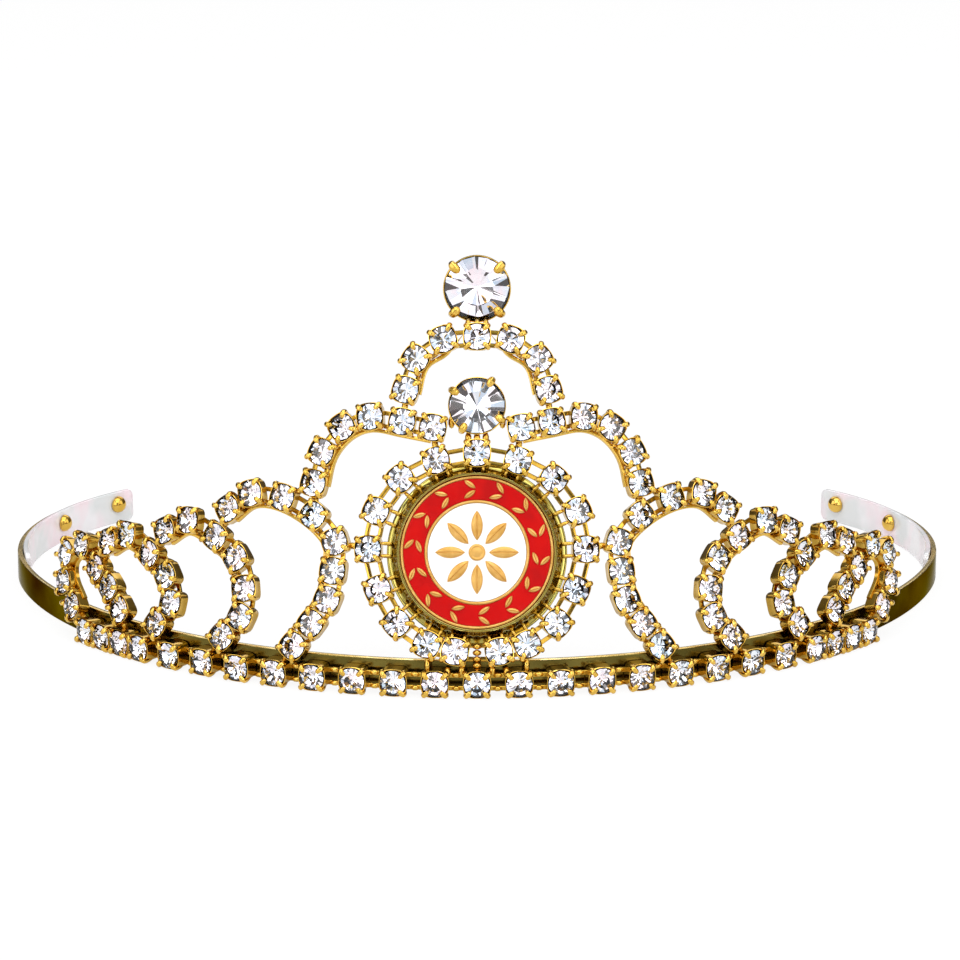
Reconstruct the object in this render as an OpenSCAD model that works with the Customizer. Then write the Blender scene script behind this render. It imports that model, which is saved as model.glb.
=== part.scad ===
// A tiara: a gold-plated strip band with a row of cup-set rhinestones on its front, five pairs of
// cup-chain arches and a top arch that lean back above the row, a wreath of stones round an
// enamelled medallion, and two large claw-set stones. Millimetres; X right, Y away from the viewer,
// Z up. The origin is the axis of the band's front arc, in the plane that the tiara rests on.

/* [Band] */
// Outer radius of the band's front arc
band_r = 74.2; // [73.8:0.1:74.3]
// Half-angle of the front arc, measured from the middle of the front
front_angle = 75; // [72:1:78]
// Outer radius of the two arcs that turn the ends inwards
back_r = 46; // [42:1:50]
// Angle of each end arc
back_angle = 61.2; // [58:0.1:66]
// Height of the strip
band_h = 4.5; // [4:0.1:4.8]
// Thickness of the strip
band_t = 0.8; // [0.6:0.1:1]
// Height of the strip's lower edge above the plane it rests on
band_lift = 0.3; // [0.2:0.1:0.5]

/* [End pads] */
// Height of the plastic pad inside each end
pad_h = 5.3; // [4.8:0.1:5.4]
// Thickness of the pad
pad_t = 0.8; // [0.6:0.1:1]
// Length of the pad along the end arc, in degrees of that arc
pad_angle = 60; // [50:1:61]
// Radius of the pad's rounded corners
pad_corner = 1.1; // [0.9:0.1:1.6]
// Distance of the two rivets from the pad's free end, in degrees of the end arc
rivet_angles = [4.5, 23.5]; // [4:0.5:40]
// Radius of a rivet's domed head
rivet_head_r = 1.4; // [0.9:0.05:1.4]
// Height of the rivets above the strip's middle
rivet_rise = 0.7; // [0:0.1:0.9]

/* [Small cups and stones] */
// Width of a square cup across its flats
cup_w = 3.9; // [3.8:0.05:3.9]
// Depth of a cup behind its stone's girdle
cup_depth = 1.9; // [1.8:0.05:2]
// Depth of the cups of the base row, which reach back to the band
row_cup_depth = 2.65; // [2.5:0.05:2.65]
// Width of a small stone across the corners of its girdle
stone_d = 3.8; // [3.6:0.05:3.85]
// Distance of a claw from the cup's middle
claw_reach = 2.2; // [2.18:0.01:2.22]

/* [Base row] */
// Radius of the row, at the stones' girdles
row_r = 77; // [76.9:0.1:77.1]
// Spacing of the stones over the front
row_pitch = 6.05; // [5.9:0.05:6.1]
// Spacing of the last stones at each side
row_end_pitch = 4.15; // [4.1:0.05:4.5]
// Stones on each side of the middle one at the wide spacing
row_wide = 9; // [9:1:9]
// Stones at each end at the close spacing
row_close = 3; // [3:1:3]

/* [Panel] */
// Angle that the arches and the medallion lean back at the middle of the front
lean = 19; // [17:0.5:20]
// Distance that the foot of the panel stands in front of the row, to clear the band behind it
panel_out = 0.3; // [0.3:0.05:0.5]
// Height of the medallion's middle, measured up the panel from the row
medallion_v = 19.05; // [19:0.05:19.3]
// Height of the inner large stone, up the panel
inner_v = 40.2; // [40.1:0.1:40.3]
// Height of the crest stone, up the panel
crest_v = 57.1; // [57:0.1:57.3]
// Tip of the crest stone, forward of the panel's lean
crest_tip = 16; // [12:1:18]

/* [Medallion] */
// Outer radius of the bezel at its back edge
bezel_r = 12.2; // [11.9:0.05:12.2]
// Radius of the medallion disc
disc_r = 11; // [10.9:0.05:11.05]
// Width of the disc's raised outer rim
disc_rim = 0.4; // [0.3:0.05:0.5]
// Radius of the white centre
white_r = 7.1; // [6.9:0.1:7.3]
// Petals of the centre rosette
petals = 8; // [6:1:10]
// Leaf pairs round the red ring
leaf_pairs = 14; // [10:1:16]

/* [Large stones] */
// Diameter of the inner large stone
inner_d = 8; // [7.8:0.1:8.1]
// Diameter of the crest stone
crest_d = 9.4; // [9:0.1:9.5]
// Turn of the inner stone's claws from the diagonals
inner_turn = 14; // [0:1:20]

/* [Hidden] */

gold = "goldenrod";
crystal = "lightcyan";
small_fn = 32;
wide_fn = 180;
gap = 0.05;
// The end arcs are this much thicker on each face, so that they lap over the front arc's ends.
seam_step = 0.03;
seam_lap = 0.8;

// Cup: wall, seat and claws. Heights are measured from the stone's girdle.
cup_chamfer = 0.45;
cup_seat = 0.45;
cup_floor = 0.25;
cup_hollow_r = 1.7;
claw_r = 0.22;
claw_tip_r = 0.28;
claw_root = 1;
claw_rise = 0.4;
rail_w = 0.45;
rail_t = 0.4;
rail_side = 0.95;
rail_bite = 0.7;

// Small stone: heights above and below the girdle's middle
girdle_t = 0.2;
table_share = 0.55;
crown_h = 0.75;
pavilion_h = 1.5;

row_z = cup_w / 2;
panel_r = row_r + panel_out;
pad_gap = 0.1;
band_top = band_lift + band_h;
rivet_z = band_lift + band_h / 2 + rivet_rise;
rivet_r = 0.5;
rivet_clear = 0.05;
rivet_tail_r = 0.9;
rivet_tail_h = 0.35;

/*
 Chains. Each arch starts at [u, v]: u is the distance along the base row from its middle, v the
 height up the panel. Each link that follows is [direction in degrees, spacing of the stones].
 They are given for the left side, and the right side mirrors them.
*/
ARCH_START = [[-70.8, 3.25], [-64.5, 14.3], [-52.8, 18], [-41.5, 22.8], [-27.1, 28]];
ARCH_LINKS = [
    [[137, 4.5], [97, 4.2], [28, 4.3], [-31, 5], [-31, 4.2], [-42, 4.2]],
    [[25, 4.2], [-21, 5.5], [-34, 4.6], [-65, 4.15], [-122, 4.15]],
    [[29, 4.5], [-18, 5.5], [-33, 4.7], [-64, 4.7], [-90, 4.15], [-129, 4.15]],
    [[39, 4.3], [0, 5.2], [-23, 5.5], [-44, 5.1], [-89, 4.2], [-96, 4.2], [-120, 4.2], [-125, 4.2]],
    [[81, 4.6], [55, 4.7], [24, 4.4], [-6, 4.8], [-9, 4.55]]
];
// The top arch and the wreath start at their middle stone and run down the left side.
TOP_START = [0, 50.2];
TOP_LINKS = [[185, 4.9], [217, 4.9], [255, 4.7]];
WREATH_START = [0, 33.4];
WREATH_LINKS = [
    [-169, 6], [-151, 5.8], [-124, 5.8], [-98, 5.6], [-72, 6], [-57, 5.6], [-33, 5.3], [-13, 4.2]
];

function degrees_along(u) = u / row_r * 180 / PI;
// The lean is a straight tilt backwards, so across the curved sides less of it shows.
function lean_at(u) = atan(tan(lean) * cos(degrees_along(u)));
// The leaning panel narrows as it rises, because it follows a cone.
function narrowing(u, v) = (panel_r - v * sin(lean_at(u))) / row_r;

function step(p, link) =
    let (dv = link[1] * sin(link[0]), du = link[1] * cos(link[0]))
    [p[0] + du / narrowing(p[0], p[1] + dv / 2), p[1] + dv];
function walk(p, links, i = 0) =
    i == len(links) ? [p] : concat([p], walk(step(p, links[i]), links, i + 1));
// A cup turns to the mean of the links on either side of it.
function spin_of(links, i) =
    i == 0 ? links[0][0]
    : i == len(links) ? links[i - 1][0]
    : (links[i - 1][0] + links[i][0]) / 2;

// Stands its children on the panel: X along the row, Y up the panel, Z out towards the viewer.
module on_panel(p, spin = 0) {
    rotate([0, 0, degrees_along(p[0])])
        translate([0, -panel_r, row_z])
            rotate([90 - lean_at(p[0]), 0, 0])
                translate([0, p[1], 0])
                    rotate([0, 0, spin])
                        children();
}

// The same for the base row, which stands upright.
module on_row(u) {
    rotate([0, 0, degrees_along(u)])
        translate([0, -row_r, row_z])
            rotate([90, 0, 0])
                children();
}

module mirrored(right) {
    mirror([right ? 1 : 0, 0, 0]) children();
}

// One cup with its four claws; the stone's girdle lies at z = 0.
module cup(depth) {
    half = cup_w / 2;
    cut = half - cup_chamfer;
    difference() {
        translate([0, 0, -depth])
            linear_extrude(depth - cup_seat)
                polygon([
                    [half, -cut], [half, cut], [cut, half], [-cut, half],
                    [-half, cut], [-half, -cut], [-cut, -half], [cut, -half]
                ]);
        translate([0, 0, cup_floor - cup_depth])
            cylinder(r = cup_hollow_r, h = cup_depth, $fn = small_fn);
    }
    for (i = [0:3])
        rotate([0, 0, 45 + 90 * i])
            translate([claw_reach, 0, 0]) {
                translate([0, 0, -claw_root])
                    cylinder(r = claw_r, h = claw_root + claw_rise, $fn = small_fn);
                translate([0, 0, claw_rise])
                    sphere(r = claw_tip_r, $fn = small_fn);
            }
}

// The two parallel rails that join neighbouring cups
module rails(spacing) {
    span = spacing - cup_w + 2 * rail_bite;
    for (side = [-1, 1])
        translate([0, side * rail_side, rail_t / 2 - cup_depth])
            cube([span, rail_w, rail_t], center = true);
}

// A round brilliant with a flat table, and one crown and one pavilion facet to each side
module brilliant(r, sides, crown, pavilion, girdle) {
    turn = 180 / sides;
    ring = [for (i = [0:sides - 1]) [cos(turn + 360 / sides * i), sin(turn + 360 / sides * i)]];
    function at(radius, z) = [for (c = ring) [c[0] * radius, c[1] * radius, z]];
    function next(i) = (i + 1) % sides;
    polyhedron(
        points = concat(
            at(r * table_share, crown), at(r, girdle / 2), at(r, -girdle / 2), [[0, 0, -pavilion]]
        ),
        faces = concat(
            [[for (i = [sides - 1:-1:0]) i]],
            [for (k = [0, 1]) for (i = [0:sides - 1])
                [k * sides + i, k * sides + next(i), (k + 1) * sides + next(i), (k + 1) * sides + i]],
            [for (i = [0:sides - 1]) [2 * sides + i, 2 * sides + next(i), 3 * sides]]
        )
    );
}

module small_stone() {
    brilliant(stone_d / 2, 8, crown_h, pavilion_h, girdle_t);
}

// Cups and rails of an open chain, soldered into one piece
module chain_settings(start, links) {
    points = walk(start, links);
    for (i = [0:len(links)])
        on_panel(points[i], spin_of(links, i)) cup(cup_depth);
    for (i = [0:len(links) - 1])
        on_panel((points[i] + points[i + 1]) / 2, links[i][0]) rails(links[i][1]);
}

module chain_stones(start, links) {
    points = walk(start, links);
    for (i = [0:len(links)])
        on_panel(points[i], spin_of(links, i)) small_stone();
}

// A chain that starts at a middle stone and runs down both sides
module twin_settings(start, links, closed = false) {
    points = walk(start, links);
    last = len(links);
    on_panel(start) cup(cup_depth);
    for (right = [false, true])
        mirrored(right) {
            for (i = [1:last])
                on_panel(points[i], spin_of(links, i)) cup(cup_depth);
            for (i = [0:last - 1])
                on_panel((points[i] + points[i + 1]) / 2, links[i][0]) rails(links[i][1]);
        }
    if (closed)
        on_panel([0, points[last][1]]) rails(-2 * points[last][0] * narrowing(0, points[last][1]));
}

module twin_stones(start, links) {
    points = walk(start, links);
    on_panel(start) small_stone();
    for (right = [false, true])
        mirrored(right)
            for (i = [1:len(links)])
                on_panel(points[i], spin_of(links, i)) small_stone();
}

function row_u(i) = min(i, row_wide) * row_pitch + max(0, i - row_wide) * row_end_pitch;

module base_row_settings() {
    last = row_wide + row_close;
    color(gold) {
        for (i = [-last:last])
            on_row(sign(i) * row_u(abs(i))) cup(row_cup_depth);
        for (right = [false, true])
            mirrored(right)
                for (i = [0:last - 1])
                    on_row((row_u(i) + row_u(i + 1)) / 2) rails(row_u(i + 1) - row_u(i));
    }
}

module base_row_stones() {
    last = row_wide + row_close;
    color(crystal)
        for (i = [-last:last])
            on_row(sign(i) * row_u(abs(i))) small_stone();
}

back_centre = (band_r - back_r) * [sin(front_angle), -cos(front_angle)];

// A curved strip between two angles of an arc, seen from above
module strip(r_out, r_in, from, to) {
    mid = (from + to) / 2;
    reach = 2 * r_out / cos((to - from) / 2);
    intersection() {
        difference() {
            circle(r = r_out, $fn = wide_fn);
            circle(r = r_in, $fn = wide_fn);
        }
        polygon([
            [0, 0], 2 * r_out * [sin(from), -cos(from)],
            reach * [sin(mid), -cos(mid)], 2 * r_out * [sin(to), -cos(to)]
        ]);
    }
}

// Stands its children at an angle of the right-hand end arc: Z points out of the band.
module on_end_arc(angle, z) {
    translate([back_centre[0], back_centre[1], z])
        rotate([0, 0, angle])
            rotate([90, 0, 0])
                translate([0, 0, back_r])
                    children();
}

end_angle = front_angle + back_angle;

module rivet_bores() {
    for (angle = rivet_angles)
        on_end_arc(end_angle - angle, rivet_z)
            translate([0, 0, -2 * rivet_head_r - band_t])
                cylinder(r = rivet_r + rivet_clear, h = 4 * rivet_head_r, $fn = small_fn);
}

module headband() {
    color(gold)
        difference() {
            translate([0, 0, band_lift]) {
                linear_extrude(band_h)
                    strip(band_r, band_r - band_t, -front_angle, front_angle);
                for (right = [false, true])
                    mirrored(right)
                        translate(back_centre)
                            linear_extrude(band_h)
                                strip(
                                    back_r + seam_step, back_r - band_t - seam_step,
                                    front_angle - seam_lap, end_angle
                                );
            }
            for (right = [false, true])
                mirrored(right) rivet_bores();
        }
}

// Cuts one corner of the pad's free end round. The circle stands out a little past the pad's
// edges, so that the round meets them at a clear angle and leaves no sliver.
module pad_corner_cut(top) {
    middle = pad_corner - 0.05;
    on_end_arc(end_angle, top ? pad_h : 0)
        mirror([0, top ? 1 : 0, 0])
            translate([0, 0, -4 * pad_t])
                linear_extrude(5 * pad_t)
                    difference() {
                        translate([-pad_corner, -pad_corner]) square(2 * pad_corner);
                        translate([-middle, middle]) circle(r = pad_corner, $fn = small_fn);
                    }
}

module end_pad(right) {
    r = back_r - band_t - seam_step - pad_gap;
    color("white")
        mirrored(!right)
            difference() {
                translate(back_centre)
                    linear_extrude(pad_h)
                        strip(r, r - pad_t, end_angle - pad_angle, end_angle);
                for (top = [false, true])
                    pad_corner_cut(top);
                rivet_bores();
            }
}

// A rivet: a round shank through band and pad, a dome inside and a low tail outside
module rivet(right, i) {
    grip = band_t + seam_step + pad_gap + pad_t;
    head_h = 0.75 * rivet_head_r;
    color(gold)
        mirrored(!right)
            on_end_arc(end_angle - rivet_angles[i], rivet_z) {
                translate([0, 0, -grip - head_h])
                    cylinder(r = rivet_r, h = grip + head_h + rivet_tail_h, $fn = small_fn);
                translate([0, 0, seam_step + gap])
                    cylinder(r1 = rivet_tail_r, r2 = 0.6 * rivet_tail_r, h = rivet_tail_h, $fn = small_fn);
                translate([0, 0, -grip - 2 * gap])
                    intersection() {
                        sphere(r = rivet_head_r, $fn = small_fn);
                        translate([0, 0, -rivet_head_r])
                            cube(2 * rivet_head_r, center = true);
                    }
            }
}

module arch_settings(k, right) {
    color(gold) mirrored(right) chain_settings(ARCH_START[k], ARCH_LINKS[k]);
}

module arch_stones(k, right) {
    color(crystal) mirrored(right) chain_stones(ARCH_START[k], ARCH_LINKS[k]);
}

// Medallion heights, measured from the panel's surface
bezel_back = -1.9;
bezel_front = 0.85;
bezel_wall = 0.25;
disc_back = -1.05;
disc_front = 0.55;
enamel_depth = 0.35;
ring_w = 0.4;
ornament_rise = 0.12;
ornament_h = 0.2;

// The bezel's wall leans in towards the front, round a flat back plate.
module medallion_bezel() {
    inner = disc_r + gap;
    color("darkkhaki")
        on_panel([0, medallion_v])
            rotate_extrude($fn = wide_fn)
                polygon([
                    [0, bezel_back], [bezel_r, bezel_back], [bezel_r, bezel_back + 0.5],
                    [inner + bezel_wall, bezel_front], [inner, bezel_front],
                    [inner, disc_back - gap], [0, disc_back - gap]
                ]);
}

// The struck disc: raised outer rim, and a raised ring between the two enamels
module medallion_disc() {
    floor_z = disc_front - enamel_depth;
    color(gold)
        on_panel([0, medallion_v])
            rotate_extrude($fn = wide_fn)
                polygon([
                    [0, disc_back], [disc_r, disc_back], [disc_r, disc_front],
                    [disc_r - disc_rim, disc_front], [disc_r - disc_rim, floor_z],
                    [white_r + ring_w, floor_z], [white_r + ring_w, disc_front],
                    [white_r, disc_front], [white_r, floor_z], [0, floor_z]
                ]);
}

module enamel(r_in, r_out) {
    on_panel([0, medallion_v])
        translate([0, 0, disc_front - enamel_depth + gap])
            difference() {
                cylinder(r = r_out, h = enamel_depth - 2 * gap, $fn = wide_fn);
                if (r_in > 0)
                    translate([0, 0, -enamel_depth])
                        cylinder(r = r_in, h = 3 * enamel_depth, $fn = wide_fn);
            }
}

module red_enamel() {
    color("red") enamel(white_r + ring_w + gap, disc_r - disc_rim - gap);
}

module white_enamel() {
    color("white") enamel(0, white_r - gap);
}

// A pointed leaf of the given length and width, lying along X from the origin
module leaf(length, width, h) {
    r = (length * length + width * width) / (4 * width);
    intersection_for (side = [-1, 1])
        translate([length / 2, side * (r - width / 2), 0])
            cylinder(r = r, h = h, $fn = 2 * small_fn);
}

// Raised gold: a rosette on the white, and leaf pairs round the red ring
module medallion_ornament() {
    petal_len = 4.3;
    petal_w = 1.7;
    petal_start = 1.7;
    leaf_len = 2;
    leaf_w = 0.8;
    leaf_tilt = 35;
    ring_mid = (white_r + ring_w + disc_r - disc_rim) / 2;
    color(gold)
        on_panel([0, medallion_v])
            translate([0, 0, disc_front - gap + ornament_rise]) {
                cylinder(r = 1.2, h = ornament_h, $fn = small_fn);
                for (i = [0:petals - 1])
                    rotate([0, 0, 90 + 360 / petals * i])
                        translate([petal_start, 0, 0]) leaf(petal_len, petal_w, ornament_h);
                for (i = [0:leaf_pairs - 1])
                    rotate([0, 0, 90 + 360 / leaf_pairs * i])
                        translate([ring_mid, 0, 0])
                            for (side = [-1, 1])
                                rotate([0, 0, 90 + side * leaf_tilt])
                                    translate([0.25, 0, 0]) leaf(leaf_len, leaf_w, ornament_h);
            }
}

// A round seat with four heavy claws, each bent over the stone's edge; the girdle lies at z = 0.
module claw_setting(d, turn) {
    seat_r = d / 2;
    hollow_r = 0.84 * seat_r;
    depth = 0.36 * d;
    shaft_r = 0.037 * d;
    tip_r = 0.055 * d;
    reach = seat_r + shaft_r + gap;
    knee_z = 0.09 * d;
    fold = 60;
    fold_len = 0.064 * d;
    difference() {
        translate([0, 0, -depth])
            cylinder(r1 = 0.78 * seat_r, r2 = reach, h = depth - 0.09 * d, $fn = small_fn * 2);
        translate([0, 0, -depth + 0.05 * d])
            cylinder(r1 = 0.45 * seat_r, r2 = hollow_r, h = depth - 0.13 * d, $fn = small_fn * 2);
    }
    for (i = [0:3])
        rotate([0, 0, 45 + turn + 90 * i])
            translate([reach, 0, 0]) {
                translate([0, 0, -0.2 * d])
                    cylinder(r = shaft_r, h = 0.2 * d + knee_z, $fn = small_fn);
                translate([0, 0, knee_z])
                    rotate([0, -fold, 0]) {
                        sphere(r = 1.1 * shaft_r, $fn = small_fn);
                        translate([0, 0, fold_len])
                            sphere(r = tip_r, $fn = small_fn);
                    }
            }
}

module large_stone(d, sides) {
    brilliant(d / 2, sides, 0.17 * d, 0.27 * d, 0.03 * d);
}

headband();
end_pad(false);  // end_pad_left
end_pad(true);  // end_pad_right
rivet(false, 0);  // rivet_left_rear
rivet(false, 1);  // rivet_left_front
rivet(true, 0);  // rivet_right_rear
rivet(true, 1);  // rivet_right_front
base_row_settings();
base_row_stones();
arch_settings(0, false);  // arch_1_left_settings
arch_stones(0, false);  // arch_1_left_stones
arch_settings(0, true);  // arch_1_right_settings
arch_stones(0, true);  // arch_1_right_stones
arch_settings(1, false);  // arch_2_left_settings
arch_stones(1, false);  // arch_2_left_stones
arch_settings(1, true);  // arch_2_right_settings
arch_stones(1, true);  // arch_2_right_stones
arch_settings(2, false);  // arch_3_left_settings
arch_stones(2, false);  // arch_3_left_stones
arch_settings(2, true);  // arch_3_right_settings
arch_stones(2, true);  // arch_3_right_stones
arch_settings(3, false);  // arch_4_left_settings
arch_stones(3, false);  // arch_4_left_stones
arch_settings(3, true);  // arch_4_right_settings
arch_stones(3, true);  // arch_4_right_stones
arch_settings(4, false);  // arch_5_left_settings
arch_stones(4, false);  // arch_5_left_stones
arch_settings(4, true);  // arch_5_right_settings
arch_stones(4, true);  // arch_5_right_stones
color(gold) twin_settings(TOP_START, TOP_LINKS);  // top_arch_settings
color(crystal) twin_stones(TOP_START, TOP_LINKS);  // top_arch_stones
color(gold) twin_settings(WREATH_START, WREATH_LINKS, true);  // wreath_settings
color(crystal) twin_stones(WREATH_START, WREATH_LINKS);  // wreath_stones
medallion_bezel();
medallion_disc();
red_enamel();
white_enamel();
medallion_ornament();
color(gold) on_panel([0, inner_v]) claw_setting(inner_d, inner_turn);  // inner_setting
color(crystal) on_panel([0, inner_v]) large_stone(inner_d, 16);  // inner_stone
color(gold) on_panel([0, crest_v]) rotate([crest_tip, 0, 0]) claw_setting(crest_d, 0);  // crest_setting
color(crystal) on_panel([0, crest_v]) rotate([crest_tip, 0, 0]) large_stone(crest_d, 16);  // crest_stone
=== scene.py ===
# %% [markdown]
# # A rhinestone tiara
#
# The real object is gold-plated brass: a flat strip bent to a horseshoe, with cup chain soldered to
# its front. Cup chain is a string of small stamped cups, each with a foil-backed glass stone held by
# four claws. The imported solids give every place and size, and this scene gives the finish. All sizes
# below are in millimetres and are turned to metres once, where a mesh is made.

from math import atan, cos, pi, radians, sin, tan

import bpy
import numpy as np
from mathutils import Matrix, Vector


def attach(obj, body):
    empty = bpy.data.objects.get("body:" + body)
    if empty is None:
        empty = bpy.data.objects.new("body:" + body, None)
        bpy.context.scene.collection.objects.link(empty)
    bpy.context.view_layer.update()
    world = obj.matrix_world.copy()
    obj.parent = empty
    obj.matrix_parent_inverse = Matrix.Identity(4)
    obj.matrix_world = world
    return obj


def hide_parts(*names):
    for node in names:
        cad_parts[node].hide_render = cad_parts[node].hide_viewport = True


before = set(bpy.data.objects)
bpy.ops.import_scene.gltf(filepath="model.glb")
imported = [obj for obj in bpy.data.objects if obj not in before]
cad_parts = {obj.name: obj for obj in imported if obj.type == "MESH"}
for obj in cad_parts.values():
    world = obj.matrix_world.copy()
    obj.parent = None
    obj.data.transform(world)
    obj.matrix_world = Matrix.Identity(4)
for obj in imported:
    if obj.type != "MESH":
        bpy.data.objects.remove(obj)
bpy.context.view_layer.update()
MM = 0.001

# %% [markdown]
# ## Camera, floor and light
#
# The camera stands in front, a little above, and looks 14 degrees down through a long lens, as the
# photograph's does. Polished metal and cut glass show nothing of their own: what is seen in them is
# the room. So the room has large white panels with dark gaps between them, which draw the crisp
# light and dark streaks that say gold and crystal.

# %% Camera
LOOK_DOWN = 14
camera_data = bpy.data.cameras.new("camera")
camera_data.sensor_width = 36
camera_data.lens = 144.375
camera_data.shift_x = 3 / 960
camera_data.clip_start = 0.01
camera = bpy.data.objects.new("camera", camera_data)
camera.location = (0, -0.60305, 0.1633)
camera.rotation_euler = (radians(90 - LOOK_DOWN), 0, 0)
bpy.context.scene.collection.objects.link(camera)
bpy.context.scene.camera = camera
print("camera looks", LOOK_DOWN, "degrees down through", camera_data.lens, "mm")

# %% Floor
REACH, DROP = 4.0, 1e-4
floor_mesh = bpy.data.meshes.new("floor")
floor_mesh.from_pydata(
    [(x, y, -DROP) for x, y in ((-REACH, -REACH), (REACH, -REACH), (REACH, REACH), (-REACH, REACH))],
    [], [(0, 1, 2, 3)],
)
floor = bpy.data.objects.new("floor", floor_mesh)
bpy.context.scene.collection.objects.link(floor)
print("floor", 2 * REACH, "m wide,", DROP, "m below the part")

# %% White paper for the floor
# The paper is part glow, so that it is evenly white. The camera sees more of the glow, straight or
# through a stone, than mirrors and lamps do.
GLOW_ALWAYS, GLOW_WHERE_SEEN = 0.4, 0.46
paper = bpy.data.materials.new("white_paper")
paper.use_nodes = True
links, nodes = paper.node_tree.links, paper.node_tree.nodes
plain = nodes["Principled BSDF"]
plain.inputs["Base Color"].default_value = (0.8, 0.8, 0.8, 1)
plain.inputs["Roughness"].default_value = 0.6
glow = nodes.new("ShaderNodeEmission")
glow.inputs["Color"].default_value = (1, 1, 1, 1)
glow.inputs["Strength"].default_value = 1.05
share = nodes.new("ShaderNodeMixShader")
path = nodes.new("ShaderNodeLightPath")
part_glow = nodes.new("ShaderNodeMath")
part_glow.operation = "MULTIPLY_ADD"
part_glow.inputs[1].default_value = GLOW_WHERE_SEEN
part_glow.inputs[2].default_value = GLOW_ALWAYS
seen = nodes.new("ShaderNodeMath")
seen.operation = "MAXIMUM"
links.new(path.outputs["Is Camera Ray"], seen.inputs[0])
links.new(path.outputs["Is Transmission Ray"], seen.inputs[1])
links.new(seen.outputs["Value"], part_glow.inputs[0])
links.new(part_glow.outputs["Value"], share.inputs["Fac"])
links.new(plain.outputs["BSDF"], share.inputs[1])
links.new(glow.outputs["Emission"], share.inputs[2])
links.new(share.outputs["Shader"], nodes["Material Output"].inputs["Surface"])
floor_mesh.materials.append(paper)
print("floor's paper:", len(nodes), "nodes")

# %% Light panels
MIDDLE = Vector((0, -0.04, 0.03))
PANEL_AWAY = 1.1
BLUE, ROSE = (0.72, 0.88, 1.0), (1.0, 0.8, 0.9)


def add_panel(name, azimuth, elevation, size, radiance, tint=(1, 1, 1)):
    """A studio panel seen from the middle at that azimuth (0 is in front, positive to the right)
    and elevation in degrees. Its watts are pi times its area times how bright it looks."""
    a, e = radians(azimuth), radians(elevation)
    data = bpy.data.lights.new(name, "AREA")
    data.shape = "RECTANGLE"
    data.size, data.size_y = size
    data.energy = pi * size[0] * size[1] * radiance
    data.color = tint
    lamp = bpy.data.objects.new(name, data)
    away = Vector((sin(a) * cos(e), -cos(a) * cos(e), sin(e)))
    lamp.location = MIDDLE + PANEL_AWAY * away
    lamp.rotation_euler = away.to_track_quat("Z", "Y").to_euler()
    bpy.context.scene.collection.objects.link(lamp)


# name, azimuth, elevation, (width, height) in metres, brightness, tint
add_panel("left_wall", -66, 26, (0.7, 1.0), 1.5)
add_panel("right_wall", 68, 26, (0.7, 1.0), 1.4)
add_panel("ceiling", 0, 84, (1.1, 0.8), 1.9)
add_panel("high_front", 0, 52, (0.85, 0.3), 3.0)
add_panel("back_wall", 180, 35, (1.2, 0.5), 1.4)
add_panel("left_strip", -34, 18, (0.26, 0.66), 3.2)
add_panel("right_strip", 35, 20, (0.24, 0.66), 3.2)
add_panel("left_near", -17, 13, (0.15, 0.44), 2.0)
add_panel("right_near", 15, 15, (0.14, 0.44), 2.0)
add_panel("front_upper", 0, 38, (0.66, 0.1), 2.0)
add_panel("front_left", -7.8, 7, (0.15, 0.44), 0.8, BLUE)
add_panel("front_right", 3.6, 7, (0.21, 0.42), 1.15)
add_panel("left_up", -9.5, 28, (0.15, 0.23), 1.5)
add_panel("right_up", 9.5, 29, (0.15, 0.21), 1.0, BLUE)
add_panel("low_left", -11, -3, (0.12, 0.08), 2.6)
add_panel("low_right", 11, -3, (0.1, 0.08), 2.6, ROSE)
add_panel("blue_strip", -21, 36, (0.08, 0.14), 5.0, BLUE)
add_panel("rose_strip", 22, 38, (0.07, 0.1), 5.0, ROSE)
add_panel("low_blue_strip", 24, 8, (0.05, 0.2), 5.0, BLUE)
print("panels:", len(bpy.data.lights))

# %% The room behind the panels
LOW_WALL, HIGH_WALL = (0.16, 0.15, 0.14, 1), (0.5, 0.5, 0.5, 1)
world = bpy.data.worlds.new("studio")
bpy.context.scene.world = world
world.use_nodes = True
links, nodes = world.node_tree.links, world.node_tree.nodes
nodes.clear()
coord = nodes.new("ShaderNodeTexCoord")
split = nodes.new("ShaderNodeSeparateXYZ")
ramp = nodes.new("ShaderNodeValToRGB")
stops = ramp.color_ramp.elements
stops[0].color, stops[1].color = LOW_WALL, HIGH_WALL
stops[1].position = 0.8
stops.new(0.4).color = LOW_WALL
backdrop = nodes.new("ShaderNodeBackground")
backdrop.inputs["Strength"].default_value = 0.8
out = nodes.new("ShaderNodeOutputWorld")
links.new(coord.outputs["Generated"], split.inputs["Vector"])
links.new(split.outputs["Z"], ramp.inputs["Fac"])
links.new(ramp.outputs["Color"], backdrop.inputs["Color"])
links.new(backdrop.outputs["Background"], out.inputs["Surface"])
bpy.context.scene.view_settings.view_transform = "Standard"
bpy.context.scene.view_settings.look = "None"
print("world:", world.name)

# %% [markdown]
# ## Shapes as arrays
#
# A shape here is a pair: an array of points, and an array of faces with four point numbers each,
# where a triangle has -1 in its last place. Grids, turned profiles and swept tubes all come down to
# the same grid of points, so one helper makes the faces of all three.


# %% Grids and closed shells
def grid_faces(rows, columns):
    """Faces of a grid of points stored row by row, whose last column joins the first: point j of
    row i is number i times the columns plus j, and a face goes round it and its three neighbours."""
    i, j = np.meshgrid(np.arange(rows - 1) * columns, np.arange(columns), indexing="ij")
    k = (j + 1) % columns
    return np.stack([i + j, i + k, i + columns + k, i + columns + j], -1).reshape(-1, 4)


def fan_faces(centre, ring):
    """Triangles from one centre point to each side of a closed ring of points."""
    ring = np.asarray(ring)
    return np.stack([np.full(len(ring), centre), ring, np.roll(ring, -1), np.full(len(ring), -1)], -1)


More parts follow.
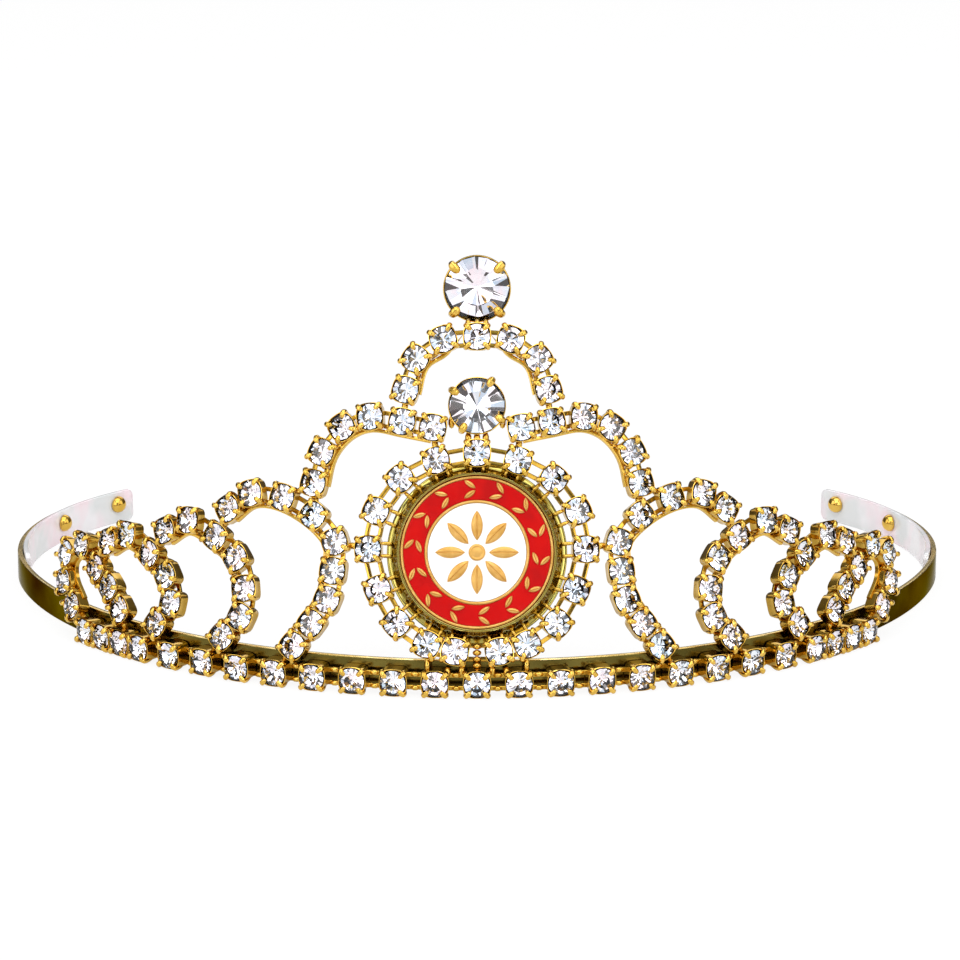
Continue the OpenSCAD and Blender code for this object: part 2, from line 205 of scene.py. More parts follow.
def join(*shapes):
    """One shape from several: the faces of each are renumbered past the points before it."""
    points, faces, start = [], [], 0
    for p, f in shapes:
        points.append(p)
        faces.append(np.where(f < 0, -1, f + start))
        start += len(p)
    return np.concatenate(points), np.concatenate(faces)


def outward(shape):
    """Turns a closed shell's faces round if its signed volume is negative: the sum over its
    triangles of one corner times the cross product of the other two."""
    p, f = shape
    d = np.where(f[:, 3] < 0, f[:, 2], f[:, 3])
    a, b, c = p[f[:, 0]], p[f[:, 1]], p[f[:, 2]]
    volume = (a * np.cross(b, c)).sum() + (a * np.cross(c, p[d])).sum()
    if volume < 0:
        tri = f[:, 3] < 0
        reverse = f[:, ::-1].copy()
        reverse[tri] = np.stack([f[tri, 2], f[tri, 1], f[tri, 0], f[tri, 3]], -1)
        f = reverse
    return p, f


def tube(grid):
    """A closed shell from rows of rings (rows, columns, 3), with a centre point at either end."""
    rows, columns = grid.shape[:2]
    n = rows * columns
    points = np.concatenate([grid.reshape(-1, 3), [grid[0].mean(0), grid[-1].mean(0)]])
    faces = np.concatenate([
        grid_faces(rows, columns),
        fan_faces(n, np.arange(columns)[::-1]),
        fan_faces(n + 1, n - columns + np.arange(columns)),
    ])
    return outward((points, faces))


def turned_rows(profile, sides):
    """Rows of rings: each (radius, height) pair is carried round Z, at the radius times the cosine
    and the sine of each side's angle."""
    angle = np.arange(sides) * 2 * pi / sides
    r, z = profile[:, :1], profile[:, 1:]
    return np.stack([r * np.cos(angle), r * np.sin(angle), np.repeat(z, sides, 1)], -1)


def turned(profile, sides):
    """A profile of (radius, height) pairs turned round Z, from one point on the axis to another."""
    profile = np.asarray(profile, float)
    points, faces = tube(turned_rows(profile[1:-1], sides))
    points[-2], points[-1] = (0, 0, profile[0, 1]), (0, 0, profile[-1, 1])
    return outward((points, faces))


def ring_of(profile, sides):
    """A closed profile of (radius, height) pairs, off the axis, turned round Z into a ring. The
    numbers of the row after the last are wrapped back to those of the first."""
    points = turned_rows(np.asarray(profile, float), sides).reshape(-1, 3)
    return outward((points, grid_faces(len(profile) + 1, sides) % len(points)))


def placed(shape, matrices):
    """Copies of a shape, one for each 4 x 4 matrix: every point times every matrix, at once."""
    p, f = shape
    m = np.asarray(matrices)
    copies = np.einsum("kij,nj->kni", m[:, :3, :3], p) + m[:, None, :3, 3]
    start = np.arange(len(m))[:, None, None] * len(p)
    return copies.reshape(-1, 3), np.where(f[None] < 0, -1, f[None] + start).reshape(-1, 4)


# %% Points and faces to an object
def make_piece(name, shape, materials, solids, smooth_under=30, face_material=None,
               shade=None):
    """Makes the mesh, gives it its materials, and hands it to the frame in the place of solids.
    Edges sharper than smooth_under degrees stay crisp. shade is a value from 0 to 1 on each point:
    how much painted shade it takes, where the gold is painted darker because it lies low."""
    p, f = shape
    real = f >= 0
    size = real.sum(1)
    mesh = bpy.data.meshes.new(name)
    mesh.vertices.add(len(p))
    mesh.vertices.foreach_set("co", (p * MM).astype(np.float32).ravel())
    mesh.loops.add(int(size.sum()))
    mesh.loops.foreach_set("vertex_index", f[real].astype(np.int32))
    mesh.polygons.add(len(f))
    mesh.polygons.foreach_set("loop_start", (size.cumsum() - size).astype(np.int32))
    mesh.polygons.foreach_set("loop_total", size.astype(np.int32))
    for material in materials:
        mesh.materials.append(material)
    if face_material is not None:
        mesh.polygons.foreach_set("material_index", np.asarray(face_material, np.int32))
    mesh.polygons.foreach_set("use_smooth", np.full(len(f), smooth_under > 0))
    # Painted shade: each point's value goes on the mesh, and the gold is painted darker by it.
    if shade is not None:
        depth = mesh.attributes.new("shade", "FLOAT", "POINT")
        depth.data.foreach_set("value", np.asarray(shade, np.float32))
    mesh.update(calc_edges=True)
    mesh.validate()
    if smooth_under > 0:
        mesh.set_sharp_from_angle(angle=radians(smooth_under))
    piece = bpy.data.objects.new(name, mesh)
    bpy.context.scene.collection.objects.link(piece)
    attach(piece, "root")
    for solid in solids:
        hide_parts(solid)
    print(name, len(f), "faces")


# %% [markdown]
# ## Gold and crystal
#
# Plated metal is a mirror whose tone, polish and flatness wander a little. That could be painted as
# pictures, but noise in the piece's own coordinates needs none and never shows a seam, so one node
# group works it out for every gold. The cups, bars, strips and solder also take painted shade,
# darker where they lie low. The strip's dark brown colour is a painted reflection of a dark room:
# it is darker and browner where it faces the eye, and warm at its grazing edges, so it has its own
# edge tint. Its pale top and bottom faces are a painted highlight. Crystal is clear glass with a high
# index of refraction, which does the sparkle by itself where the cut is modelled.

# %% Helpers for materials
def new_material(name, colour, metallic=0.0, roughness=0.5, **sockets):
    """A Principled material with plain values on its sockets."""
    material = bpy.data.materials.new(name)
    material.use_nodes = True
    shader = material.node_tree.nodes["Principled BSDF"]
    shader.inputs["Base Color"].default_value = (*colour, 1)
    shader.inputs["Metallic"].default_value = metallic
    shader.inputs["Roughness"].default_value = roughness
    for key, value in sockets.items():
        shader.inputs[key.replace("_", " ")].default_value = value
    return material, shader


def new_group(name, numbers, colours, outputs):
    """An empty node group with number inputs (label: value), colour inputs (labels) and outputs
    (label: kind), and with its own input and output nodes."""
    group = bpy.data.node_groups.new(name, "ShaderNodeTree")
    face = group.interface
    for label, value in numbers.items():
        face.new_socket(label, in_out="INPUT", socket_type="NodeSocketFloat").default_value = value
    for label in colours:
        face.new_socket(label, in_out="INPUT", socket_type="NodeSocketColor")
    for label, kind in outputs.items():
        face.new_socket(label, in_out="OUTPUT", socket_type="NodeSocket" + kind)
    return group, group.nodes.new("NodeGroupInput"), group.nodes.new("NodeGroupOutput")


def use_group(material, group, **values):
    """Places a node group in a material and sets its inputs, each a number or a colour."""
    node = material.node_tree.nodes.new("ShaderNodeGroup")
    node.node_tree = group
    for label, value in values.items():
        node.inputs[label].default_value = value if np.isscalar(value) else (*value, 1)
    return node


# %% Node group for plating
def plate_group():
    """Node group: the uneven tone, dulling and fine waviness of plated brass. A broad noise, made
    steeper, mixes Light and Dark and adds its share of Dulling to Polish. A fine one is Height."""
    group, take, give = new_group(
        "plate_tone", {"Scale": 400.0, "Dulling": 0.1, "Polish": 0.1}, ("Light", "Dark"),
        {"Colour": "Color", "Roughness": "Float", "Height": "Float"},
    )
    n, l = group.nodes, group.links
    place = n.new("ShaderNodeTexCoord")
    broad = n.new("ShaderNodeTexNoise")
    broad.inputs["Detail"].default_value = 3
    mix = n.new("ShaderNodeMix")
    mix.data_type = "RGBA"
    l.new(place.outputs["Object"], broad.inputs["Vector"])
    l.new(take.outputs["Scale"], broad.inputs["Scale"])
    steep = n.new("ShaderNodeMapRange")
    steep.inputs["From Min"].default_value = 0.35
    steep.inputs["From Max"].default_value = 0.7
    l.new(broad.outputs["Fac"], steep.inputs["Value"])
    l.new(steep.outputs["Result"], mix.inputs["Factor"])
    l.new(take.outputs["Light"], mix.inputs["A"])
    l.new(take.outputs["Dark"], mix.inputs["B"])
    l.new(mix.outputs["Result"], give.inputs["Colour"])
    dull = n.new("ShaderNodeMath")
    dull.operation = "MULTIPLY_ADD"
    l.new(steep.outputs["Result"], dull.inputs[0])
    l.new(take.outputs["Dulling"], dull.inputs[1])
    l.new(take.outputs["Polish"], dull.inputs[2])
    l.new(dull.outputs["Value"], give.inputs["Roughness"])
    fine = n.new("ShaderNodeTexNoise")
    fine.inputs["Scale"].default_value = 900
    fine.inputs["Detail"].default_value = 2
    l.new(place.outputs["Object"], fine.inputs["Vector"])
    l.new(fine.outputs["Fac"], give.inputs["Height"])
    return group


plate_tone = plate_group()
print("node group:", plate_tone.name, len(plate_tone.nodes), "nodes")


# %% Plated metal
WAVE_HEIGHT = 0.0002


def plated(name, light, dark, polish, dulling, scale=350.0, wave=0.02, shade_colour=None, edge=(1, 1, 1)):
    """A plated metal: colour, roughness and waviness come from the plate_tone group. Where a shade
    colour is given, the colour goes to it by the points' shade value: painted shade, which makes gold
    lying low in a cup or under it darker. edge tints what grazes the surface."""
    material, shader = new_material(name, light, 1.0, polish, Specular_Tint=(*edge, 1))
    n, l = material.node_tree.nodes, material.node_tree.links
    tone = use_group(material, plate_tone, Scale=scale, Dulling=dulling, Polish=polish,
                     Light=light, Dark=dark)
    bump = n.new("ShaderNodeBump")
    bump.inputs["Strength"].default_value = wave
    bump.inputs["Distance"].default_value = WAVE_HEIGHT
    colour = tone.outputs["Colour"]
    # Painted shade: the colour is mixed towards the shade colour by each point's shade value.
    if shade_colour is not None:
        depth = n.new("ShaderNodeAttribute")
        depth.attribute_name = "shade"
        shade_mix = n.new("ShaderNodeMix")
        shade_mix.data_type = "RGBA"
        l.new(depth.outputs["Fac"], shade_mix.inputs["Factor"])
        l.new(colour, shade_mix.inputs["A"])
        shade_mix.inputs["B"].default_value = (*shade_colour, 1)
        colour = shade_mix.outputs["Result"]
    l.new(colour, shader.inputs["Base Color"])
    l.new(tone.outputs["Roughness"], shader.inputs["Roughness"])
    l.new(tone.outputs["Height"], bump.inputs["Height"])
    l.new(bump.outputs["Normal"], shader.inputs["Normal"])
    return material


# %% The golds and the crystal
# bright_gold's last colour is the painted shade that the cups, bars, strips and solder are darkened
# towards.
bright_gold = plated("bright_gold", (0.82, 0.53, 0.115), (0.64, 0.385, 0.055),
                     polish=0.07, dulling=0.12, shade_colour=(0.42, 0.245, 0.026))
# The band's dark brown colour is a painted reflection of a dark room.
band_painted_dark_gold = plated("band_painted_dark_gold", (0.2, 0.155, 0.036), (0.075, 0.058, 0.012),
                   polish=0.1, dulling=0.14, scale=90, edge=(0.36, 0.31, 0.14))
# The pale gold of the band's top and bottom faces is a painted highlight.
edge_highlight_gold = plated("edge_highlight_gold", (0.92, 0.74, 0.36), (0.75, 0.52, 0.16),
                   polish=0.2, dulling=0.1, scale=200)
olive_gold = plated("olive_gold", (0.44, 0.36, 0.095), (0.29, 0.235, 0.05),
                    polish=0.06, dulling=0.12, scale=250, wave=0.03)
ornament_gold = plated("ornament_gold", (0.72, 0.43, 0.13), (0.6, 0.33, 0.08),
                       polish=0.4, dulling=0.12, scale=600)
crystal, _ = new_material("crystal", (1, 1, 1), roughness=0.0, IOR=1.6, Transmission_Weight=1.0)
print("materials:", len(bpy.data.materials))

# %% [markdown]
# ## Foil, enamel and plastic
#
# The stones' backs are silvered, the enamels are poured glass, and the pads are milky plastic with
# faint pink and grey clouds. None of them is one flat colour, so each drifts between three tints
# that lie near each other. Two soft noises, shifted apart, keep the drifts independent.


# %% Node group for drifting tints
def cloud_group():
    """Node group: three tints mixed by two soft noises, and a roughness that is Roughness plus
    Unevenness times the first noise."""
    group, take, give = new_group(
        "cloud_tints", {"Scale": 400.0, "Roughness": 0.2, "Unevenness": 0.1},
        ("First", "Second", "Third"), {"Colour": "Color", "Roughness": "Float"},
    )
    n, l = group.nodes, group.links
    place = n.new("ShaderNodeTexCoord")
    masks = []
    for offset in (0.0, 0.37):
        move = n.new("ShaderNodeVectorMath")
        move.operation = "ADD"
        move.inputs[1].default_value = (offset, offset, offset)
        noise = n.new("ShaderNodeTexNoise")
        noise.inputs["Detail"].default_value = 2
        spread = n.new("ShaderNodeMapRange")
        spread.inputs["From Min"].default_value = 0.42
        spread.inputs["From Max"].default_value = 0.62
        l.new(place.outputs["Object"], move.inputs[0])
        l.new(move.outputs["Vector"], noise.inputs["Vector"])
        l.new(take.outputs["Scale"], noise.inputs["Scale"])
        l.new(noise.outputs["Fac"], spread.inputs["Value"])
        masks.append(spread.outputs["Result"])
    colour = take.outputs["First"]
    for mask, label in zip(masks, ("Second", "Third")):
        mix = n.new("ShaderNodeMix")
        mix.data_type = "RGBA"
        l.new(mask, mix.inputs["Factor"])
        l.new(colour, mix.inputs["A"])
        l.new(take.outputs[label], mix.inputs["B"])
        colour = mix.outputs["Result"]
    l.new(colour, give.inputs["Colour"])
    rough = n.new("ShaderNodeMath")
    rough.operation = "MULTIPLY_ADD"
    l.new(masks[0], rough.inputs[0])
    l.new(take.outputs["Unevenness"], rough.inputs[1])
    l.new(take.outputs["Roughness"], rough.inputs[2])
    l.new(rough.outputs["Value"], give.inputs["Roughness"])
    return group


cloud_tints = cloud_group()
print("node group:", cloud_tints.name, len(cloud_tints.nodes), "nodes")


# %% Foil, enamels and milky plastic
def clouded(name, first, second, third, scale, roughness, unevenness, metallic=0.0, **sockets):
    """A material whose colour drifts between three near tints."""
    material, shader = new_material(name, first, metallic, roughness, **sockets)
    tints = use_group(material, cloud_tints, Scale=scale, Roughness=roughness,
                      Unevenness=unevenness, First=first, Second=second, Third=third)
    link = material.node_tree.links.new
    link(tints.outputs["Colour"], shader.inputs["Base Color"])
    link(tints.outputs["Roughness"], shader.inputs["Roughness"])
    return material


foil = clouded("mirror_foil", (0.97, 0.98, 1.0), (0.82, 0.91, 1.0), (1.0, 0.93, 0.96),
               scale=420, roughness=0.01, unevenness=0.01, metallic=1.0)
red_glaze = clouded("red_glaze", (0.5, 0.0, 0.0), (0.42, 0.0, 0.0), (0.54, 0.001, 0.0),
                    scale=260, roughness=0.3, unevenness=0.06,
                    Specular_IOR_Level=0.15, Coat_Weight=0.06, Coat_Roughness=0.04)
white_glaze = clouded("white_glaze", (0.93, 0.93, 0.92), (0.9, 0.9, 0.89), (0.93, 0.92, 0.89),
                      scale=260, roughness=0.3, unevenness=0.06,
                      Coat_Weight=0.15, Coat_Roughness=0.05)
milky = clouded("milky_plastic", (0.97, 0.95, 0.98), (1.0, 0.82, 0.88), (0.8, 0.82, 0.83),
                scale=150, roughness=0.14, unevenness=0.1, IOR=1.47,
                Transmission_Weight=0.12, Coat_Weight=0.4, Coat_Roughness=0.05)
print("materials:", len(bpy.data.materials))

# %% [markdown]
# ## Places along the band
#
# Every cup has a place on the leaning panel: how far along the row it stands, how far up the panel,
# and how it is turned. These are the part's own numbers. An arch is a start and a list of links,
# each with an angle on the panel in degrees and a length. Only the left half is written down, and
# the right half is its mirror image, as the maker bends the two by one pattern.

# %% Sizes of the part
ROW_R = 77.0
PANEL_R = 77.3
ROW_Z = 1.95
LEAN = radians(19)
ROW_PITCH, ROW_END_PITCH, ROW_WIDE, ROW_CLOSE = 6.05, 4.15, 9, 3
MEDALLION_V, INNER_V, CREST_V = 19.05, 40.2, 57.1
CREST_TIP = radians(16)
ARCHES = {
    1: ((-70.8, 3.25), [(137, 4.5), (97, 4.2), (28, 4.3), (-31, 5), (-31, 4.2), (-42, 4.2)]),
    2: ((-64.5, 14.3), [(25, 4.2), (-21, 5.5), (-34, 4.6), (-65, 4.15), (-122, 4.15)]),
    3: ((-52.8, 18), [(29, 4.5), (-18, 5.5), (-33, 4.7), (-64, 4.7), (-90, 4.15), (-129, 4.15)]),
    4: ((-41.5, 22.8), [(39, 4.3), (0, 5.2), (-23, 5.5), (-44, 5.1), (-89, 4.2), (-96, 4.2),
                        (-120, 4.2), (-125, 4.2)]),
    5: ((-27.1, 28), [(81, 4.6), (55, 4.7), (24, 4.4), (-6, 4.8), (-9, 4.55)]),
}
TOP_ARCH = ((0, 50.2), [(185, 4.9), (217, 4.9), (255, 4.7)])
WREATH = ((0, 33.4), [(-169, 6), (-151, 5.8), (-124, 5.8), (-98, 5.6), (-72, 6), (-57, 5.6),
                      (-33, 5.3), (-13, 4.2)])
print("links:", sum(len(links) for _, links in [*ARCHES.values(), TOP_ARCH, WREATH]), "a side")


# %% From a place to a matrix
def lean_at(u):
    """The tilt seen across the band at u: its tangent falls with the cosine of the turn."""
    return atan(tan(LEAN) * cos(u / ROW_R))


def turn(axis, angle):
    """A 4 x 4 turn about X or Z: the cosine on the diagonal, minus and plus the sine off it."""
    c, s = cos(angle), sin(angle)
    m = np.eye(4)
    i, j = (1, 2) if axis == "X" else (0, 1)
    m[i, i], m[i, j], m[j, i], m[j, j] = c, -s, s, c
    return m


def shift(x, y, z):
    """A 4 x 4 move by x, y and z."""
    m = np.eye(4)
    m[:3, 3] = x, y, z
    return m


def on_panel(u, v, spin=0.0):
    """Round the band by u, up the leaning panel by v, then turned by spin degrees in it."""
    return (turn("Z", u / ROW_R) @ shift(0, -PANEL_R, ROW_Z) @ turn("X", pi / 2 - lean_at(u))
            @ shift(0, v, 0) @ turn("Z", radians(spin)))


def on_row(u):
    """The upright place of a cup of the base row."""
    return turn("Z", u / ROW_R) @ shift(0, -ROW_R, ROW_Z) @ turn("X", pi / 2)


def walk(start, links):
    """Places of a chain. Each link goes its length times the cosine and the sine of its angle, and
    the step along the band is wider by as much as the leaning panel is narrower at that height."""
    u, v = start
    places = [(u, v)]
    for angle, length in links:
        du, dv = length * cos(radians(angle)), length * sin(radians(angle))
        narrowing = (PANEL_R - (v + dv / 2) * sin(lean_at(u))) / ROW_R
        u, v = u + du / narrowing, v + dv
        places.append((u, v))
    return places


def chain_places(start, links):
    """Matrices of a chain's cups, each turned halfway between its two links, and of its links with
    their lengths."""
    at = walk(start, links)
    angles = [angle for angle, _ in links]
    spins = [angles[0]] + [(a + b) / 2 for a, b in zip(angles, angles[1:])] + [angles[-1]]
    cups = [on_panel(u, v, s) for (u, v), s in zip(at, spins)]
    bars = [
        (on_panel((p[0] + q[0]) / 2, (p[1] + q[1]) / 2, angle), length)
        for p, q, (angle, length) in zip(at, at[1:], links)
    ]
    return cups, bars


MIRROR = np.diag([-1.0, 1, 1, 1])


def mirrored(matrix):
    """The same place on the other side. The second mirror keeps the shape itself right-handed."""
    return MIRROR @ matrix @ MIRROR


# %% [markdown]
# ## A cup and its claws
#
# A cup is stamped from thin sheet: a rounded square shell, with four claws that rise at its corners
# and are pressed over the stone. It could be boxes and bevels, but then its rim would be a hard
# frame. Here the wall is a profile carried round a rounded square, and a claw is a flattened wire
# swept along a bent path. One cup is made, and each chain is that cup times all its matrices.

# %% Cup
CUP_WIDE = 3.9
ARCH_CUP_DEEP, ROW_CUP_DEEP = 1.9, 2.65
RAIL_DOWN, SOLDER_DOWN = -1.7, -1.62


def rounded_radius(angle, half, power):
    """How far the edge of a rounded square lies from its middle at an angle: the half width over
    the power's root of the cosine and sine, each raised to that power and added. A power of two is
    a circle, and a larger one is squarer."""
    c, s = np.abs(np.cos(angle)), np.abs(np.sin(angle))
    return half / (c ** power + s ** power) ** (1 / power)


def cup_wall(depth):
    """A stamped cup: a square shell with well rounded corners and nearly straight sides. Its rim
    stands at the stone's girdle, and rises a little at the corners, where the claws leave it."""
    quarter = np.radians([0, 12, 22, 30, 38, 45, 52, 60, 68, 78])
    angle = np.concatenate([quarter + k * pi / 2 for k in range(4)])
    corner = np.abs(np.sin(2 * angle)) ** 4
    rim = -0.06 + 0.12 * corner
    rows = [  # half width, power, height (None for the rim), rise above it
        (1.6, 4.5, -depth, 0), (1.8, 4.5, -depth + 0.02, 0), (1.88, 4.5, -depth + 0.12, 0),
        (1.94, 4.0, -1.0, 0), (2.0, 3.2, None, -0.2), (2.03, 3.0, None, -0.08), (2.02, 2.9, None, 0),
        (1.95, 2.7, None, 0.02), (1.91, 2.6, None, -0.04), (1.87, 2.5, None, -0.3),
        (1.6, 2.4, -1.1, 0), (1.2, 2.2, -1.75, 0),
    ]
    grid = []
    for half, power, height, rise in rows:
        r = rounded_radius(angle, half, power)
        z = np.full_like(angle, height) if height is not None else rim + rise
        grid.append(np.stack([r * np.cos(angle), r * np.sin(angle), z], -1))
    return tube(np.array(grid))


# %% Claws
def swept_claw(path, radii, sides=8, flat=1.0):
    """A bent wire in the plane of (distance, height): rings square to the path, round at the tip.
    flat is the ring's thickness in the plane as a share of its width across it."""
    path, radii = np.asarray(path, float), np.asarray(radii, float)
    ahead = np.gradient(path, axis=0)
    ahead /= np.linalg.norm(ahead, axis=1, keepdims=True)
    tip = path[-1] + ahead[-1] * radii[-1] * np.array([[0.45], [0.8], [0.98]])
    path = np.concatenate([path, tip])
    ahead = np.concatenate([ahead, np.repeat(ahead[-1:], 3, 0)])
    radii = np.concatenate([radii, radii[-1] * np.array([0.88, 0.58, 0.15])])
    across = np.stack([-ahead[:, 1], ahead[:, 0]], -1)
    angle = np.arange(sides) * 2 * pi / sides
    inplane = path[:, None] + across[:, None] * radii[:, None, None] * flat * np.cos(angle)[:, None]
    grid = np.stack([inplane[..., 0], radii[:, None] * np.sin(angle), inplane[..., 1]], -1)
    return tube(grid)


def four_turned(shape, first=45.0):
    """Four copies of a shape, a quarter turn apart, the first at an angle."""
    return placed(shape, [turn("Z", radians(first + 90 * k)) for k in range(4)])


small_claw = swept_claw(
    [(2.22, -1.3), (2.34, -0.7), (2.38, -0.15), (2.3, 0.22), (2.08, 0.46), (1.82, 0.56), (1.6, 0.53)],
    [0.24, 0.3, 0.36, 0.39, 0.4, 0.38, 0.34], sides=10, flat=0.75,
)

# %% Cups with their claws
arch_cup = join(cup_wall(ARCH_CUP_DEEP), four_turned(small_claw))
row_cup = join(cup_wall(ROW_CUP_DEEP), four_turned(small_claw))
print("a cup has", len(arch_cup[1]), "faces")

# %% Painted shade, solder drops and bars
# Painted shade: how much darker the bars, the inner strips and the solder drops are painted.
RAIL_PAINTED_SHADE, STRIP_PAINTED_SHADE, SOLDER_PAINTED_SHADE = 0.75, 0.2, 0.3


def painted_depth_shade(points, top=0.2, bottom=-0.9, most=0.75):
    """How much painted shade a cup's gold takes, darker towards its bottom, where shade falls: none
    above top and most below bottom. In between it is most times three squares less two cubes of the
    share of the way down."""
    t = np.clip((top - points[:, 2]) / (top - bottom), 0, 1)
    return most * t * t * (3 - 2 * t)


def blob(x, y, z, sides=10, rows=7):
    """A drop of solder: a ball stretched to half widths x, y and z."""
    polar = np.linspace(0, pi, rows)
    p, f = turned(np.stack([np.sin(polar), -np.cos(polar)], -1), sides)
    return p * [x, y, z], f


def bar_pair(length, bite=0.9, apart=0.95):
    """Two flat bars side by side, as long as the gap between two cups and a bite into each. Their
    section is a squared ellipse: the cosine and the sine, each to the power of 0.35."""
    span = length - CUP_WIDE + 2 * bite
    angle = np.arange(12) * 2 * pi / 12
    c, s = np.cos(angle), np.sin(angle)
    y = np.sign(c) * np.abs(c) ** 0.35 * 0.34
    z = np.sign(s) * np.abs(s) ** 0.35 * 0.22
    section = np.stack([np.zeros_like(y), y, z], -1)
    ends = np.array([[-span / 2, 0, 0], [span / 2, 0, 0]])
    bars = []
    for side in (-apart, apart):
        grid = ends[:, None] + section[None] + np.array([0, side, RAIL_DOWN])
        bars.append(tube(grid))
    return join(*bars)


# %% [markdown]
# ## Cut stones
#
# A rhinestone is machine-cut glass, flat on top and pointed and silvered at the back. A smooth cone
# with a bump texture would never sparkle: the flashes come from light that goes in through the
# table, meets the back facets and comes out again. So the facets are real, the faces are flat
# shaded, the top is clear crystal and the girdle and back are foil. Every stone sits a little
# askew, which makes each one of a row flash differently.


# %% One stone
def chaton(radius, sides, table, crown, girdle, pavilion, uneven):
    """A machine-cut rhinestone. A flat table with that many sides, one ring of sloping facets down
    to the girdle, and plain facets from the girdle to the point at the back. Every second corner of
    the back edge is raised and every other lowered, so neighbouring back facets tilt apart and take
    turns to flash. Girdle and back are foiled."""
    rings = turned_rows(np.array([(radius * table, crown), (radius, girdle / 2),
                                  (radius, -girdle / 2)]), sides)
    rings[2, :, 2] += uneven * np.where(np.arange(sides) % 2, 1, -1)
    points = np.concatenate([rings.reshape(-1, 3), [[0, 0, crown], [0, 0, -pavilion]]])
    i = np.arange(sides)
    j = (i + 1) % sides
    upper, lower, centre, culet = sides, 2 * sides, 3 * sides, 3 * sides + 1
    faces = np.concatenate([
        fan_faces(centre, i),
        np.stack([i, upper + i, upper + j, j], -1),
        np.stack([upper + i, lower + i, lower + j, upper + j], -1),
        np.stack([lower + i, np.full(sides, culet), lower + j, np.full(sides, -1)], -1),
    ])
    is_foil = (np.arange(4 * sides) >= 2 * sides).astype(int)
    return (points, faces), is_foil


small_stone, small_foil = chaton(radius=1.87, sides=14, table=0.52, crown=0.62, girdle=0.14,
                                 pavilion=1.62, uneven=0.035)
rng = np.random.default_rng(11)
print("a small stone has", len(small_stone[1]), "facets")


def loose_turns(count, tip=1.6):
    """Each stone sits in its cup turned any way, and tipped by a degree or so."""
    spin = rng.uniform(0, 2 * pi, count)
    lean_x, lean_z = rng.normal(0, radians(tip), (2, count))
    return [turn("Z", a) @ turn("X", b) @ turn("Z", c) for a, b, c in zip(spin, lean_x, lean_z)]


# %% [markdown]
# ## Chains
#
# The base row follows the band, and each arch is a cup chain bent on edge, with two flat bars from
# cup to cup and a flat strip soldered along its inner side. The strip is a smooth curve through the
# cups, so its section is placed at every cup and each of its tracks is drawn as a spline.


# %% The strip along the inside of a chain
def inner_strip(cups, side, steps=5, aside=1.93, down=1.4):
    """A flat gold strip soldered along the inner side of a bent chain. Eight corner points of its
    section are placed at every cup, and each track is a cubic curve through them, whose slope at a
    cup is half the way from the cup before it to the cup after it."""
    y = np.array([-0.28, -0.1, 0.12, 0.28, 0.28, 0.12, -0.1, -0.28]) + side * aside
    z = np.array([-0.28, -0.36, -0.36, -0.28, 0.28, 0.36, 0.36, 0.28]) - down
    section = np.stack([np.zeros(8), y, z, np.ones(8)], -1)
    tracks = np.stack([(m @ section.T).T[:, :3] for m in cups])
    first, end = 2 * tracks[:1] - tracks[1:2], 2 * tracks[-1:] - tracks[-2:-1]
    tracks = np.concatenate([first, tracks, end])
    t = np.arange(steps)[:, None, None] / steps
    rows = []
    for p0, p1, p2, p3 in zip(tracks, tracks[1:], tracks[2:], tracks[3:]):
        rows.append(0.5 * (2 * p1 + (p2 - p0) * t + (2 * p0 - 5 * p1 + 4 * p2 - p3) * t ** 2
                           + (3 * p1 - p0 - 3 * p2 + p3) * t ** 3))
    rows.append(tracks[-2][None])
    return tube(np.concatenate(rows))


# %% One chain
all_cups = {}


def make_chain(name, cup, cups, bars, extra=()):
    """Cups and bars as one soldered piece, and their stones as another."""
    all_cups[name] = cups
    rails = [placed(bar_pair(length), [at]) for at, length in bars]
    # Painted shade: cups darker towards their bottoms, bars much darker, inner strips a little darker.
    shade = [np.tile(painted_depth_shade(cup[0]), len(cups))]
    shade += [np.full(len(p), RAIL_PAINTED_SHADE) for p, _ in rails]
    shade += [np.full(len(p), STRIP_PAINTED_SHADE) for p, _ in extra]
    make_piece(name + "_cups", join(placed(cup, cups), *rails, *extra), [bright_gold],
               [name + "_settings"], shade=np.concatenate(shade))
    stones = placed(small_stone, [m @ t for m, t in zip(cups, loose_turns(len(cups)))])
    make_piece(name + "_crystals", stones, [crystal, foil], [name + "_stones"],
               smooth_under=0, face_material=np.tile(small_foil, len(cups)))


def flipped(shape):
    """The mirror image of a shape, with its faces turned round so that they still point out."""
    p, f = shape
    return outward((p * [-1, 1, 1], f))


# %% The base row
def row_u(i):
    """How far along the row cup i stands: wide steps first, and closer ones near the end."""
    return min(i, ROW_WIDE) * ROW_PITCH + max(0, i - ROW_WIDE) * ROW_END_PITCH


last = ROW_WIDE + ROW_CLOSE
stations = [(-1 if i < 0 else 1) * row_u(abs(i)) for i in range(-last, last + 1)]
row_bars = [(on_row((a + b) / 2), b - a) for a, b in zip(stations, stations[1:])]
between = [m for m, gap in row_bars if gap > ROW_END_PITCH + 1]
drops = [placed(blob(0.75, 0.42, 0.4), [m @ shift(0, y, SOLDER_DOWN) for m in between])
         for y in (-1.0, 1.0)]
make_chain("base_row", row_cup, [on_row(u) for u in stations], row_bars, drops)

# %% The arches
for number, (start, steps) in ARCHES.items():
    cups, bars = chain_places(start, steps)
    inside = inner_strip(cups, -1)
    make_chain(f"arch_{number}_left", arch_cup, cups, bars, [inside])
    make_chain(f"arch_{number}_right", arch_cup, [mirrored(m) for m in cups],
               [(mirrored(m), s) for m, s in bars], [flipped(inside)])

